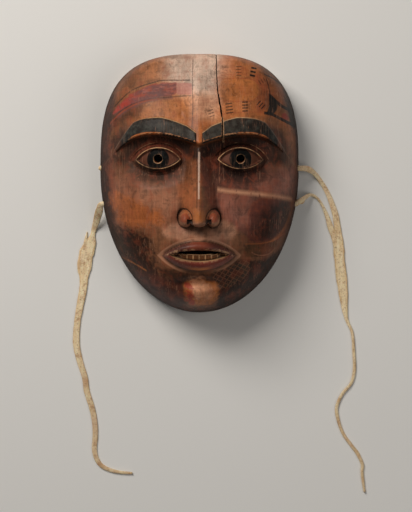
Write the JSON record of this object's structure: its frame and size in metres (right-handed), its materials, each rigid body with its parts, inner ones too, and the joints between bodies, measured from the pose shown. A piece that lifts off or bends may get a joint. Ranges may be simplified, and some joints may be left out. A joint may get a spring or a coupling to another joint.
{
  "type": "carved wooden face mask with hide ties",
  "caption": "Carved and painted wooden face mask, hollow behind, lying face up on its back rim, with split hide ties through bores in its sides.",
  "frame": {"origin": "on the floor under the middle of the wood, in the plane of the back rim", "axes": "+X to the right of someone who looks at the face, +Y from the chin to the forehead, +Z out of the face"},
  "size_m": [0.2814, 0.4181, 0.1086],
  "materials": {
    "painted_wood": "old worn paint, semi-gloss from handling",
    "hide": "pale raw hide, matt, stained"
  },
  "bodies": {
    "root": {"mask": "painted_wood", "right_tie": "hide", "left_tie": "hide", "left_tie_remnant": "hide"}
  },
  "joints": []
}
